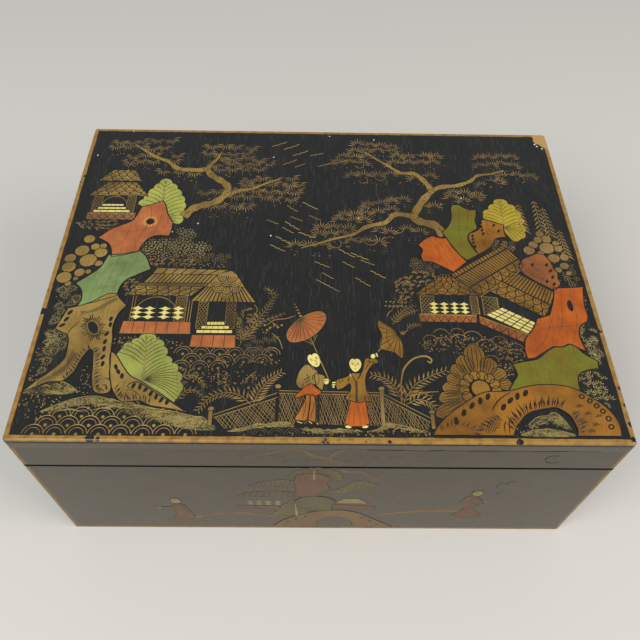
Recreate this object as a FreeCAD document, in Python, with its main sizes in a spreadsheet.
"""A lacquered wooden jewelry box: base, hinged lid and lift-out tray.

Frame: +Z up, +X to the right, the front faces -Y, and the origin is the middle of the underside.
Every length is in millimetres, and every size that can be set by itself is a cell of the sheet "sizes".
"""

import FreeCAD, Part
import Sketcher
import os

doc = FreeCAD.newDocument("jewelry_box")
sheet = doc.addObject("Spreadsheet::Sheet", "sizes")

# Driving dimensions: alias, value and what it measures
DRIVING_DIMENSIONS = [
    ("box_width", 303, "outside, left to right"),
    ("box_depth", 228, "outside, front to back"),
    ("box_height", 124, "underside to the top of the closed lid"),
    ("lid_height", 29, "middle of the seam to the top of the lid"),
    ("seam_gap", 0.5, "gap between the lid's rim and the base's rim"),
    ("wall_thickness", 11, "boards of the base and rails of the lid"),
    ("corner_tongue", 4, "what a front or back board keeps outside its corner rebate"),
    ("corner_radius", 2, "rounding of the upright corners"),
    ("arris_radius", 0.6, "rounding of the rims and of the foot"),
    ("top_thickness", 8, "board that closes the lid"),
    ("top_edge_radius", 1.5, "rounding round the top of the lid"),
    ("bottom_thickness", 6, "board that closes the base"),
    ("bottom_rebate", 5, "how far the bottom board reaches into the walls"),
    ("lining_thickness", 3, "cloth-covered boards that line the base and carry the tray"),
    ("lining_height", 48, "bottom board to the tray's seat"),
    ("floor_pad_thickness", 6, "pad on the bottom board"),
    ("lid_pad_thickness", 7, "pad under the lid's top board"),
    ("pad_rounding", 2.5, "soft edge of the floor pad and the lid pad"),
    ("pad_clearance", 0.5, "gap round every pad"),
    ("tray_height", 36, "outside height of the tray"),
    ("tray_clearance", 0.8, "gap between the tray and the walls"),
    ("tray_wall", 5, "boards of the tray"),
    ("tray_tongue", 2, "what a tray board keeps outside its corner rebate"),
    ("tray_edge_radius", 0.8, "rounding of the tray's top edges"),
    ("tray_bottom_thickness", 3, "board that closes the tray"),
    ("tray_bottom_rebate", 2.5, "how far that board reaches into the tray's walls"),
    ("divider_thickness", 4, "dividers of the tray"),
    ("divider_height", 24, "tray floor to the top of the dividers"),
    ("dado_depth", 1.5, "how far a divider's end is let in"),
    ("front_row_depth", 84, "front row of compartments, front to back"),
    ("ring_space_width", 128, "compartment of the ring rolls, left to right"),
    ("middle_space_width", 86, "middle compartment of the back row"),
    ("finger_notch_radius", 11, "half-round notch for lifting the tray"),
    ("tray_pad_thickness", 4, "pads in the open compartments"),
    ("tray_pad_rounding", 1.6, "soft edge of those pads"),
    ("ring_roll_count", 6, "rolls side by side"),
    ("ring_roll_height", 17, "tray floor to the top of a roll"),
    ("ring_roll_gap", 0.6, "gap between two rolls"),
    ("hinge_inset", 59.5, "side of the box to the middle of a hinge"),
    ("hinge_length", 36, "leaf and barrel, along the pin"),
    ("axis_inset", 3.2, "pin's axis in from the back face"),
    ("barrel_radius", 2.2, "outside of the knuckles"),
    ("pin_radius", 1.1, "hinge pin"),
    ("pin_clearance", 0.05, "radial, in the knuckles"),
    ("knuckle_clearance", 0.25, "round and between the knuckles"),
    ("leaf_thickness", 1.4, "hinge leaf"),
    ("leaf_reach", 7, "pin's axis to the leaf's inner edge"),
    ("leaf_gap", 0.1, "between the two leaves of a closed hinge"),
    ("leaf_fit", 0.1, "round a leaf in its recess"),
    ("screw_offset", 11, "middle of a hinge to its screws"),
    ("screw_head_radius", 1.6, "countersunk head"),
    ("screw_head_height", 1.1, "countersunk head"),
    ("screw_shank_radius", 0.8, "shank"),
    ("screw_length", 10, "head and shank"),
    ("screw_slot_width", 0.5, "driver slot"),
    ("screw_slot_depth", 0.5, "driver slot"),
    ("screw_fit", 0.03, "radial, round a screw"),
    ("lid_open_angle", 100, "travel of the lid, in degrees"),
    ("stop_margin_angle", 2, "left between the stop bevels of the open lid, in degrees"),
]
for row, (alias, size, meaning) in enumerate(DRIVING_DIMENSIONS, start=1):
    sheet.set(f"A{row}", alias)
    sheet.set(f"B{row}", str(size))
    sheet.setAlias(f"B{row}", alias)
    sheet.set(f"C{row}", meaning)
doc.recompute()

# Derived places, as expressions of the sheet
HALF_WIDTH = "sizes.box_width / 2"
HALF_DEPTH = "sizes.box_depth / 2"
SEAM = "(sizes.box_height - sizes.lid_height)"
BASE_RIM = f"({SEAM} - sizes.seam_gap / 2)"
LID_RIM = f"({SEAM} + sizes.seam_gap / 2)"
CEILING = "(sizes.box_height - sizes.top_thickness)"
INSIDE_X = f"({HALF_WIDTH} - sizes.wall_thickness)"
INSIDE_Y = f"({HALF_DEPTH} - sizes.wall_thickness)"
TRAY_SEAT = "(sizes.bottom_thickness + sizes.lining_height)"
TRAY_X = f"({INSIDE_X} - sizes.tray_clearance)"
TRAY_Y = f"({INSIDE_Y} - sizes.tray_clearance)"
TRAY_INSIDE_X = f"({TRAY_X} - sizes.tray_wall)"
TRAY_INSIDE_Y = f"({TRAY_Y} - sizes.tray_wall)"
TRAY_FLOOR = f"({TRAY_SEAT} + sizes.tray_bottom_thickness)"
HALF_DIVIDER = "sizes.divider_thickness / 2"
ROW_SPLIT = f"({HALF_DIVIDER} + sizes.front_row_depth - {TRAY_INSIDE_Y})"
AXIS_Y = f"({HALF_DEPTH} - sizes.axis_inset)"
BEVEL_DROP = "(sizes.axis_inset * tan((sizes.lid_open_angle + sizes.stop_margin_angle) / 2))"
LEAF_START = "(sizes.barrel_radius + sizes.knuckle_clearance)"
HINGE_X = f"({HALF_WIDTH} - sizes.hinge_inset)"
SCREW_Y = f"({AXIS_Y} - ({LEAF_START} + sizes.leaf_reach) / 2)"

# Rounding of a ring roll's crown, as a share of the roll's width: a half would make it a full half round
ROLL_CROWN_SHARE = 0.48

TOLERANCE = 1e-4
nodes = []


def value(expression):
    """The number that an expression of the sheet gives."""
    return float(sheet.evalExpression(expression))


def times(sign, expression):
    """An expression on one side of the middle: -1 is left, front or below, and 1 the other side."""
    return f"({sign} * ({expression}))"


def new_body(label):
    """An empty body that becomes the node of that name."""
    body = doc.addObject("PartDesign::Body", label)
    body.Label = label
    nodes.append(body)
    return body


def new_sketch(body, role, x="0", y="0", z="0"):
    """A sketch on an origin plane of the body, its own origin moved by x and y in that plane and z off it."""
    sketch = body.newObject("Sketcher::SketchObject", f"{body.Name}_sketch")
    support = next(f for f in body.Origin.OriginFeatures if f.Role == role)
    sketch.AttachmentSupport = [(support, "")]
    sketch.MapMode = "FlatFace"
    for axis, place in zip("xyz", (x, y, z)):
        sketch.setExpression(f"AttachmentOffset.Base.{axis}", place)
    return sketch


def fix_point(sketch, geometry, point, x, y):
    """Ties a point of the sketch to the expressions x and y."""
    for kind, place in (("DistanceX", x), ("DistanceY", y)):
        rule = Sketcher.Constraint(kind, -1, 1, geometry, point, value(place))
        sketch.setExpression(f"Constraints[{sketch.addConstraint(rule)}]", place)


def draw_polygon(sketch, corners):
    """A closed outline through corners, each a pair of expressions."""
    points = [FreeCAD.Vector(value(x), value(y), 0) for x, y in corners]
    count = len(points)
    for i in range(count):
        sketch.addGeometry(Part.LineSegment(points[i], points[(i + 1) % count]), False)
    for i in range(count):
        sketch.addConstraint(Sketcher.Constraint("Coincident", i, 2, (i + 1) % count, 1))
    for i, (x, y) in enumerate(corners):
        fix_point(sketch, i, 1, x, y)
    return sketch


def draw_rectangle(sketch, x_low, x_high, y_low, y_high):
    return draw_polygon(sketch, [(x_low, y_low), (x_high, y_low), (x_high, y_high), (x_low, y_high)])


def draw_circle(sketch, x, y, radius):
    centre = FreeCAD.Vector(value(x), value(y), 0)
    sketch.addGeometry(Part.Circle(centre, FreeCAD.Vector(0, 0, 1), value(radius)), False)
    fix_point(sketch, 0, 3, x, y)
    rule = sketch.addConstraint(Sketcher.Constraint("Radius", 0, value(radius)))
    sketch.setExpression(f"Constraints[{rule}]", radius)
    return sketch


def extrude(body, kind, sketch, length, both_ways=False, backwards=False):
    """A Pad or a Pocket of that length. A Pad goes up from its sketch and a Pocket down, unless backwards."""
    feature = body.newObject(f"PartDesign::{kind}", f"{body.Name}_{kind.lower()}")
    feature.Profile = sketch
    feature.Midplane = both_ways
    feature.Reversed = backwards
    feature.setExpression("Length", length)
    return feature


def pad(body, sketch, length, **ways):
    return extrude(body, "Pad", sketch, length, **ways)


def pocket(body, sketch, length, **ways):
    """A Pocket that is known to cut: the volume before and after is compared."""
    doc.recompute()
    before = body.Shape.Volume
    feature = extrude(body, "Pocket", sketch, length, **ways)
    doc.recompute()
    if body.Shape.Volume > before - TOLERANCE:
        raise RuntimeError(f"a pocket of {body.Label} cuts nothing")
    return feature


def pad_box(body, x_low, x_high, y_low, y_high, z_low, height):
    sketch = new_sketch(body, "XY_Plane", z=z_low)
    return pad(body, draw_rectangle(sketch, x_low, x_high, y_low, y_high), height)


def pocket_box(body, x_low, x_high, y_low, y_high, z_low, height):
    sketch = new_sketch(body, "XY_Plane", z=z_low)
    return pocket(body, draw_rectangle(sketch, x_low, x_high, y_low, y_high), height, backwards=True)


def is_upright(edge):
    """True for an edge that runs straight up."""
    return edge.BoundBox.XLength < TOLERANCE and edge.BoundBox.YLength < TOLERANCE


def round_edges(body, radius, chosen, upright=False):
    """Fillets the edges of the body, upright ones or level ones, whose end points all satisfy chosen."""
    doc.recompute()
    base = body.Tip
    names = [
        f"Edge{number}"
        for number, edge in enumerate(base.Shape.Edges, start=1)
        if is_upright(edge) == upright and all(chosen(vertex.Point) for vertex in edge.Vertexes)
    ]
    if not names:
        raise RuntimeError(f"{body.Label} has no edge to round there")
    fillet = body.newObject("PartDesign::Fillet", f"{body.Name}_rounding")
    fillet.Base = (base, names)
    fillet.setExpression("Radius", radius)
    doc.recompute()
    return fillet


def near(number, expression):
    return abs(number - value(expression)) < TOLERANCE


def on_outline(point, half_x, half_y):
    """True for a point on the upright sides of a box of that half width and half depth."""
    return near(abs(point.x), half_x) or near(abs(point.y), half_y)


# Four boards with rebated corners: the front and back boards run the full width, the side boards seat in them


def board_frame(names, half_x, half_y, wall, tongue, z_low, height):
    """Front, back, left and right boards of a frame, in that order."""
    front, back, left, right = (new_body(name) for name in names)
    inner_x = f"({half_x} - {wall})"
    inner_y = f"({half_y} - {wall})"
    rebate_y = f"({half_y} - {tongue})"
    for body, side in ((front, -1), (back, 1)):
        outline = [
            (times(-1, half_x), times(side, half_y)),
            (half_x, times(side, half_y)),
            (half_x, times(side, rebate_y)),
            (inner_x, times(side, rebate_y)),
            (inner_x, times(side, inner_y)),
            (times(-1, inner_x), times(side, inner_y)),
            (times(-1, inner_x), times(side, rebate_y)),
            (times(-1, half_x), times(side, rebate_y)),
        ]
        pad(body, draw_polygon(new_sketch(body, "XY_Plane", z=z_low), outline), height)
    for body, side in ((left, -1), (right, 1)):
        pad_box(body, times(side, half_x), times(side, inner_x), times(-1, rebate_y), rebate_y, z_low, height)
    return front, back, left, right


def rebate_for_board(bodies, half_x, half_y, z_low, height):
    """Cuts the seat of a bottom board of that half size into each body."""
    for body in bodies:
        pocket_box(body, times(-1, half_x), half_x, times(-1, half_y), half_y, z_low, height)


def round_corners(bodies, half_x, half_y, radius):
    """Rounds the upright corners that the front and back boards carry."""

    def chosen(point):
        return near(abs(point.x), half_x) and near(abs(point.y), half_y)

    for body in bodies:
        round_edges(body, radius, chosen, upright=True)


def round_rim(body, level):
    """Rounds the outer edges of a board of the base or the lid at that level."""

    def chosen(point):
        return near(point.z, level) and on_outline(point, HALF_WIDTH, HALF_DEPTH)

    round_edges(body, "sizes.arris_radius", chosen)


def round_level(body, radius, level):
    """Rounds every edge of the body at that level."""
    round_edges(body, radius, lambda p: near(p.z, level))


# Base: four boards on a let-in bottom board


def build_base():
    names = ("base_front_board", "base_back_board", "base_left_board", "base_right_board")
    boards = board_frame(
        names, HALF_WIDTH, HALF_DEPTH, "sizes.wall_thickness", "sizes.corner_tongue", "0", BASE_RIM
    )
    front, back, left, right = boards
    bottom_x = f"({INSIDE_X} + sizes.bottom_rebate)"
    bottom_y = f"({INSIDE_Y} + sizes.bottom_rebate)"
    rebate_for_board(boards, bottom_x, bottom_y, "0", "sizes.bottom_thickness")
    round_corners((front, back), HALF_WIDTH, HALF_DEPTH, "sizes.corner_radius")
    for board in boards:
        round_rim(board, "0")
    for board in (front, left, right):
        round_rim(board, BASE_RIM)
    bottom = new_body("base_bottom_board")
    low_x, low_y = times(-1, bottom_x), times(-1, bottom_y)
    pad_box(bottom, low_x, bottom_x, low_y, bottom_y, "0", "sizes.bottom_thickness")
    return back


# Lining of the base: boards that carry the tray, and the pad on the floor


def build_lining():
    floor, height = "sizes.bottom_thickness", "sizes.lining_height"
    inner_x = f"({INSIDE_X} - sizes.lining_thickness)"
    inner_y = f"({INSIDE_Y} - sizes.lining_thickness)"
    for name, side in (("lining_left", -1), ("lining_right", 1)):
        x_far, x_near = times(side, INSIDE_X), times(side, inner_x)
        pad_box(new_body(name), x_far, x_near, times(-1, INSIDE_Y), INSIDE_Y, floor, height)
    for name, side in (("lining_front", -1), ("lining_back", 1)):
        y_far, y_near = times(side, INSIDE_Y), times(side, inner_y)
        pad_box(new_body(name), times(-1, inner_x), inner_x, y_far, y_near, floor, height)
    half_x = f"({inner_x} - sizes.pad_clearance)"
    half_y = f"({inner_y} - sizes.pad_clearance)"
    thickness = "sizes.floor_pad_thickness"
    floor_pad = new_body("floor_pad")
    pad_box(floor_pad, times(-1, half_x), half_x, times(-1, half_y), half_y, floor, thickness)
    round_level(floor_pad, "sizes.pad_rounding", f"{floor} + {thickness}")


# Lid: four rails under one top board, with a pad inside


def build_lid():
    names = ("lid_front_rail", "lid_back_rail", "lid_left_rail", "lid_right_rail")
    height = f"({CEILING} - {LID_RIM})"
    rails = board_frame(
        names, HALF_WIDTH, HALF_DEPTH, "sizes.wall_thickness", "sizes.corner_tongue", LID_RIM, height
    )
    front, back, left, right = rails
    round_corners((front, back), HALF_WIDTH, HALF_DEPTH, "sizes.corner_radius")
    for rail in (front, left, right):
        round_rim(rail, LID_RIM)
    top = new_body("lid_top_board")
    low_x, low_y = times(-1, HALF_WIDTH), times(-1, HALF_DEPTH)
    pad_box(top, low_x, HALF_WIDTH, low_y, HALF_DEPTH, CEILING, "sizes.top_thickness")
    round_corners((top,), HALF_WIDTH, HALF_DEPTH, "sizes.corner_radius")
    round_level(top, "sizes.top_edge_radius", "sizes.box_height")
    half_x = f"({INSIDE_X} - sizes.pad_clearance)"
    half_y = f"({INSIDE_Y} - sizes.pad_clearance)"
    lid_pad = new_body("lid_pad")
    low = f"({CEILING} - sizes.lid_pad_thickness)"
    pad_box(lid_pad, times(-1, half_x), half_x, times(-1, half_y), half_y, low, "sizes.lid_pad_thickness")
    round_level(lid_pad, "sizes.pad_rounding", low)
    return back


# Back boards: the stop bevels, and the recesses of the hinges


def recess_for_hinges(body, side):
    """Cuts the stop bevel, leaf recesses and screw holes: side is -1 for the base and 1 for the lid."""
    bevel = [
        (AXIS_Y, SEAM),
        (HALF_DEPTH, SEAM),
        (HALF_DEPTH, f"({SEAM} + {times(side, BEVEL_DROP)})"),
    ]
    pocket(body, draw_polygon(new_sketch(body, "YZ_Plane"), bevel), "sizes.box_width", both_ways=True)
    recess_length = "(sizes.hinge_length + 2 * sizes.leaf_fit)"
    leaf_far = f"({SEAM} + {times(side, 'sizes.leaf_gap / 2 + sizes.leaf_thickness')})"
    for hand in (-1, 1):
        middle = times(hand, HINGE_X)
        barrel = new_sketch(body, "YZ_Plane", z=middle)
        draw_circle(barrel, AXIS_Y, SEAM, "sizes.barrel_radius + sizes.knuckle_clearance")
        pocket(body, barrel, recess_length, both_ways=True)
        leaf = new_sketch(body, "YZ_Plane", z=middle)
        draw_rectangle(leaf, f"({AXIS_Y} - sizes.leaf_reach - sizes.leaf_fit)", AXIS_Y, SEAM, leaf_far)
        pocket(body, leaf, recess_length, both_ways=True)
        for end in (-1, 1):
            hole = new_sketch(body, "XY_Plane", z=leaf_far)
            x = f"({middle} + {times(end, 'sizes.screw_offset')})"
            draw_circle(hole, x, SCREW_Y, "sizes.screw_shank_radius + sizes.screw_fit")
            pocket(body, hole, "sizes.screw_length", backwards=side > 0)


# Hinges: leaf of the base with two knuckles, leaf of the lid with one, a pin, and countersunk screws


def screw_section(sketch, side, clearance):
    """Half section of a screw whose head is at the sketch's origin and whose shank points to side."""
    head = f"sizes.screw_head_radius + {clearance}"
    shank = f"sizes.screw_shank_radius + {clearance}"
    return draw_polygon(
        sketch,
        [
            ("0", "0"),
            (head, "0"),
            (shank, times(side, "sizes.screw_head_height")),
            (shank, times(side, "sizes.screw_length - sizes.screw_shank_radius")),
            ("0", times(side, "sizes.screw_length")),
        ],
    )


def revolve(body, kind, sketch):
    feature = body.newObject(f"PartDesign::{kind}", f"{body.Name}_{kind.lower()}")
    feature.Profile = sketch
    feature.ReferenceAxis = (sketch, ["V_Axis"])
    feature.Angle = 360
    return feature


def screw_places(hand, side):
    """Sketch offsets, on the YZ plane, of the heads of a leaf's two screws."""
    head_level = f"({SEAM} + {times(side, 'sizes.leaf_gap / 2')})"
    middle = times(hand, HINGE_X)
    return [
        {"x": SCREW_Y, "y": head_level, "z": f"({middle} + {times(end, 'sizes.screw_offset')})"}
        for end in (-1, 1)
    ]


def build_leaf(name, hand, side):
    """One leaf: side -1 lies on the base and carries the outer knuckles, side 1 lies under the lid's rail."""
    body = new_body(name)
    middle = times(hand, HINGE_X)
    near_face = f"({SEAM} + {times(side, 'sizes.leaf_gap / 2')})"
    far_face = f"({SEAM} + {times(side, 'sizes.leaf_gap / 2 + sizes.leaf_thickness')})"
    plate = new_sketch(body, "YZ_Plane", z=middle)
    draw_rectangle(plate, f"({AXIS_Y} - sizes.leaf_reach)", f"({AXIS_Y} - {LEAF_START})", near_face, far_face)
    pad(body, plate, "sizes.hinge_length", both_ways=True)
    knuckle = "(sizes.hinge_length / 3)"
    length = f"({knuckle} - sizes.knuckle_clearance)" if side > 0 else knuckle
    for end in (0,) if side > 0 else (-1, 1):
        place = f"({middle} + {times(end, knuckle)})"
        web = new_sketch(body, "YZ_Plane", z=place)
        draw_rectangle(web, f"({AXIS_Y} - {LEAF_START})", AXIS_Y, near_face, far_face)
        pad(body, web, length, both_ways=True)
        barrel = draw_circle(new_sketch(body, "YZ_Plane", z=place), AXIS_Y, SEAM, "sizes.barrel_radius")
        pad(body, barrel, length, both_ways=True)
    bore = new_sketch(body, "YZ_Plane", z=middle)
    draw_circle(bore, AXIS_Y, SEAM, "sizes.pin_radius + sizes.pin_clearance")
    pocket(body, bore, "sizes.hinge_length", both_ways=True)
    for place in screw_places(hand, side):
        revolve(body, "Groove", screw_section(new_sketch(body, "YZ_Plane", **place), side, "sizes.screw_fit"))


def build_pin(name, hand):
    body = new_body(name)
    sketch = new_sketch(body, "YZ_Plane", z=times(hand, HINGE_X))
    pad(body, draw_circle(sketch, AXIS_Y, SEAM, "sizes.pin_radius"), "sizes.hinge_length", both_ways=True)


def build_screw(name, side, place):
    """One slotted screw. It isn't a node of its own: the screws of all leaves on one side are a group."""
    body = doc.addObject("PartDesign::Body", name)
    revolve(body, "Revolution", screw_section(new_sketch(body, "YZ_Plane", **place), side, "0"))
    slot = new_sketch(body, "YZ_Plane", **place)
    half_width = "sizes.screw_slot_width / 2"
    depth = times(side, "sizes.screw_slot_depth")
    draw_rectangle(slot, times(-1, half_width), half_width, "0", depth)
    pocket(body, slot, "2 * sizes.screw_head_radius", both_ways=True)
    return body


def group(label, bodies):
    """A node made of several separate solids."""
    compound = doc.addObject("Part::Compound", label)
    compound.Label = label
    compound.Links = bodies
    nodes.append(compound)


def build_hinges():
    for hand, word in ((-1, "left"), (1, "right")):
        build_leaf(f"{word}_hinge_base_leaf", hand, -1)
        build_leaf(f"{word}_hinge_lid_leaf", hand, 1)
        build_pin(f"{word}_hinge_pin", hand)
    for side, word in ((-1, "base"), (1, "lid")):
        places = screw_places(-1, side) + screw_places(1, side)
        screws = [build_screw(f"{word}_screw_{i}", side, place) for i, place in enumerate(places, start=1)]
        group(f"{word}_hinge_screws", screws)


# Tray: boards with finger notches, a let-in bottom, and housed dividers


def build_tray():
    names = ("tray_front_board", "tray_back_board", "tray_left_board", "tray_right_board")
    boards = board_frame(
        names, TRAY_X, TRAY_Y, "sizes.tray_wall", "sizes.tray_tongue", TRAY_SEAT, "sizes.tray_height"
    )
    front, back, left, right = boards
    bottom_x = f"({TRAY_INSIDE_X} + sizes.tray_bottom_rebate)"
    bottom_y = f"({TRAY_INSIDE_Y} + sizes.tray_bottom_rebate)"
    rebate_for_board(boards, bottom_x, bottom_y, TRAY_SEAT, "sizes.tray_bottom_thickness")
    bottom = new_body("tray_bottom_board")
    low_x, low_y = times(-1, bottom_x), times(-1, bottom_y)
    pad_box(bottom, low_x, bottom_x, low_y, bottom_y, TRAY_SEAT, "sizes.tray_bottom_thickness")
    tray_top = f"({TRAY_SEAT} + sizes.tray_height)"
    for body, side in ((left, -1), (right, 1)):
        notch = new_sketch(body, "YZ_Plane", z=times(side, f"{TRAY_X} - sizes.tray_wall / 2"))
        draw_circle(notch, "0", tray_top, "sizes.finger_notch_radius")
        pocket(body, notch, "2 * sizes.tray_wall", both_ways=True)
    for body in (front, back):
        round_edges(
            body, "sizes.tray_edge_radius", lambda p: near(p.z, tray_top) and near(abs(p.y), TRAY_INSIDE_Y)
        )
    build_dividers(front, back, left, right)


def build_dividers(front, back, left, right):
    """One long divider and three short ones, each let into the boards that it meets."""
    height = "sizes.divider_height"
    long_divider = new_body("tray_long_divider")
    reach = f"({TRAY_INSIDE_X} + sizes.dado_depth)"
    y_low, y_high = f"({ROW_SPLIT} - {HALF_DIVIDER})", f"({ROW_SPLIT} + {HALF_DIVIDER})"
    pad_box(long_divider, times(-1, reach), reach, y_low, y_high, TRAY_FLOOR, height)
    for body in (left, right):
        pocket_box(body, times(-1, reach), reach, y_low, y_high, TRAY_FLOOR, height)
    side_x = f"(sizes.middle_space_width / 2 + {HALF_DIVIDER})"
    ring_x = f"(sizes.ring_space_width + {HALF_DIVIDER} - {TRAY_INSIDE_X})"
    back_wall = f"({TRAY_INSIDE_Y} + sizes.dado_depth)"
    front_wall = times(-1, f"{TRAY_INSIDE_Y} + sizes.dado_depth")
    for name, middle, board, y_wall, y_divider in (
        ("tray_front_divider", ring_x, front, front_wall, f"({y_low} + sizes.dado_depth)"),
        ("tray_back_left_divider", times(-1, side_x), back, back_wall, f"({y_high} - sizes.dado_depth)"),
        ("tray_back_right_divider", side_x, back, back_wall, f"({y_high} - sizes.dado_depth)"),
    ):
        x_low, x_high = f"({middle} - {HALF_DIVIDER})", f"({middle} + {HALF_DIVIDER})"
        pad_box(new_body(name), x_low, x_high, y_wall, y_divider, TRAY_FLOOR, height)
        for body in (board, long_divider):
            pocket_box(body, x_low, x_high, y_wall, y_divider, TRAY_FLOOR, height)


# What lines the tray: ring rolls and pads


def build_ring_rolls():
    """Rolls that run left to right, side by side, filling the ring compartment from front to back."""
    count = int(value("sizes.ring_roll_count"))
    room = "(sizes.front_row_depth - 2 * sizes.pad_clearance)"
    pitch = f"(({room} + sizes.ring_roll_gap) / sizes.ring_roll_count)"
    width = f"({pitch} - sizes.ring_roll_gap)"
    x_low = f"(sizes.pad_clearance - {TRAY_INSIDE_X})"
    x_high = f"(sizes.ring_space_width - sizes.pad_clearance - {TRAY_INSIDE_X})"
    top = f"({TRAY_FLOOR} + sizes.ring_roll_height)"

    def on_ridge(point):
        return near(point.z, top)

    rolls = []
    for i in range(count):
        body = doc.addObject("PartDesign::Body", f"ring_roll_{i + 1}")
        y_low = f"(sizes.pad_clearance - {TRAY_INSIDE_Y} + {i} * {pitch})"
        y_high = f"({y_low} + {width})"
        pad_box(body, x_low, x_high, y_low, y_high, TRAY_FLOOR, "sizes.ring_roll_height")
        round_edges(body, f"{ROLL_CROWN_SHARE} * {width}", on_ridge)
        rolls.append(body)
    group("ring_rolls", rolls)


def build_tray_pads():
    ring_edge = f"(sizes.ring_space_width + sizes.divider_thickness - {TRAY_INSIDE_X})"
    middle = "(sizes.middle_space_width / 2)"
    side = f"({middle} + sizes.divider_thickness)"
    front_row = (times(-1, TRAY_INSIDE_Y), f"({ROW_SPLIT} - {HALF_DIVIDER})")
    back_row = (f"({ROW_SPLIT} + {HALF_DIVIDER})", TRAY_INSIDE_Y)
    for name, x_low, x_high, (y_low, y_high) in (
        ("tray_pad_front", ring_edge, TRAY_INSIDE_X, front_row),
        ("tray_pad_back_left", times(-1, TRAY_INSIDE_X), times(-1, side), back_row),
        ("tray_pad_back_middle", times(-1, middle), middle, back_row),
        ("tray_pad_back_right", side, TRAY_INSIDE_X, back_row),
    ):
        body = new_body(name)
        gap = "sizes.pad_clearance"
        edges = (f"({x_low} + {gap})", f"({x_high} - {gap})", f"({y_low} + {gap})", f"({y_high} - {gap})")
        pad_box(body, *edges, TRAY_FLOOR, "sizes.tray_pad_thickness")
        round_level(body, "sizes.tray_pad_rounding", f"{TRAY_FLOOR} + sizes.tray_pad_thickness")


def check_model():
    """Stops unless every object is sound and every node holds closed, valid solids."""
    doc.recompute()
    for thing in doc.Objects:
        if "Invalid" in thing.State or "Error" in thing.State:
            raise RuntimeError(f"{thing.Label} failed: {thing.State}")
    for node in nodes:
        if node.Shape.isNull() or not node.Shape.isValid() or not node.Shape.Solids:
            raise RuntimeError(f"{node.Label} has no valid solid")


def write_parts():
    os.makedirs("parts", exist_ok=True)
    for node in nodes:
        node.Shape.exportStep(f"parts/{node.Label}.step")
    print(f"wrote {len(nodes)} nodes")


recess_for_hinges(build_base(), -1)
build_lining()
recess_for_hinges(build_lid(), 1)
build_hinges()
build_tray()
build_ring_rolls()
build_tray_pads()
check_model()
write_parts()
